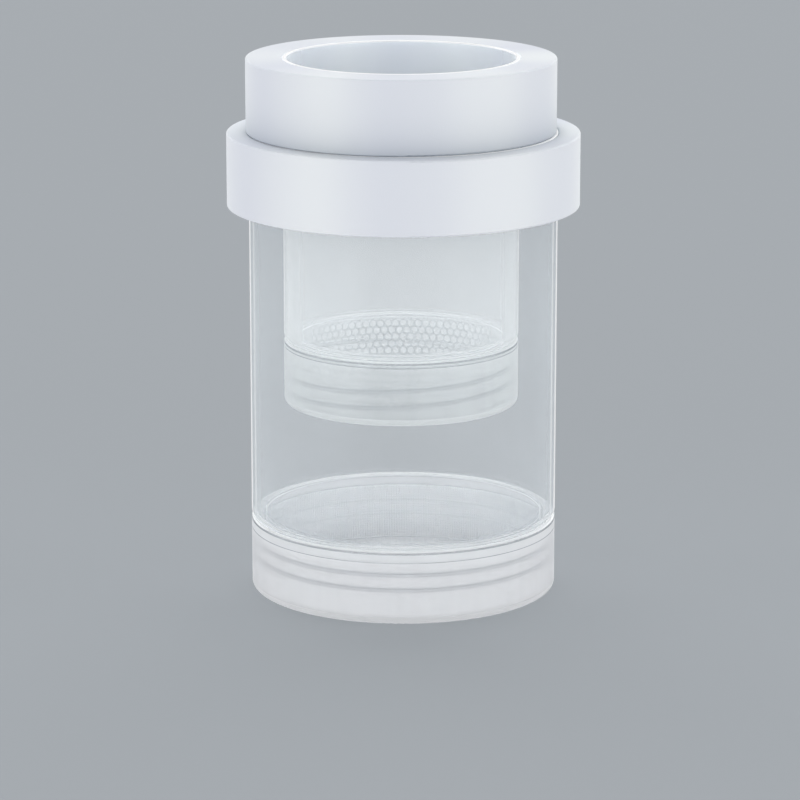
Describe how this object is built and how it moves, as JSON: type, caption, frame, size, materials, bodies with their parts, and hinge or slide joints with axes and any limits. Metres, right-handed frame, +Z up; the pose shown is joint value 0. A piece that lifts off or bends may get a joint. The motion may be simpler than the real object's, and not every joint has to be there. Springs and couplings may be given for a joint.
{
  "type": "fish breeding box",
  "caption": "Two-layer floating breeding box: clear tubes hung one inside the other from white foam rings, each closed below by a milky ring cap that clamps a net.",
  "frame": {"origin": "centre of the outer cap's underside, on the axis of the outer tube", "axes": "+Z up along the tubes, towards the open mouth; the outer layer is round about Z, and the loose inner layer rests 0.6 mm off centre towards -X"},
  "size_m": [0.097, 0.097, 0.1489],
  "materials": {
    "clear_tube": "gloss",
    "milky_cap": "satin",
    "foam": "matte",
    "fine_net": "matte",
    "coarse_net": "matte"
  },
  "bodies": {
    "outer_cap": {"outer_cap": "milky_cap"},
    "outer_net": {"outer_net": "fine_net"},
    "outer_tube": {"outer_tube": "clear_tube"},
    "outer_float_ring": {"outer_float_ring": "foam"},
    "inner_float_ring": {"inner_float_ring": "foam"},
    "inner_tube": {"inner_tube": "clear_tube"},
    "inner_net": {"inner_net": "coarse_net"},
    "inner_cap": {"inner_cap": "milky_cap"}
  },
  "joints": [
    {"name": "outer_net_lift", "type": "slide", "parent": "outer_cap", "child": "outer_net", "axis": [0, 0, 1], "range_m": [0, 0.022]},
    {"name": "outer_tube_lift", "type": "slide", "parent": "outer_net", "child": "outer_tube", "axis": [0, 0, 1], "range_m": [0, 0.022]},
    {"name": "outer_ring_slide", "type": "slide", "parent": "outer_tube", "child": "outer_float_ring", "axis": [0, 0, 1], "range_m": [-0.06, 0]},
    {"name": "inner_lift", "type": "slide", "parent": "outer_tube", "child": "inner_float_ring", "axis": [0, 0, 1], "range_m": [0, 0.08]},
    {"name": "inner_tube_raise", "type": "slide", "parent": "inner_float_ring", "child": "inner_tube", "axis": [0, 0, 1], "range_m": [0, 0.05]},
    {"name": "inner_net_drop", "type": "slide", "parent": "inner_tube", "child": "inner_net", "axis": [0, 0, -1], "range_m": [0, 0.0088]},
    {"name": "inner_cap_turn", "type": "hinge", "parent": "inner_net", "child": "inner_cap", "pos_m": [-0.0006, 0, 0.0617], "axis": [0, 0, -1], "range_deg": [0, 360]}
  ],
  "couplings": [
    {"joint": "inner_cap_turn", "follows": "inner_net_drop", "rad_per_m": 714}
  ]
}
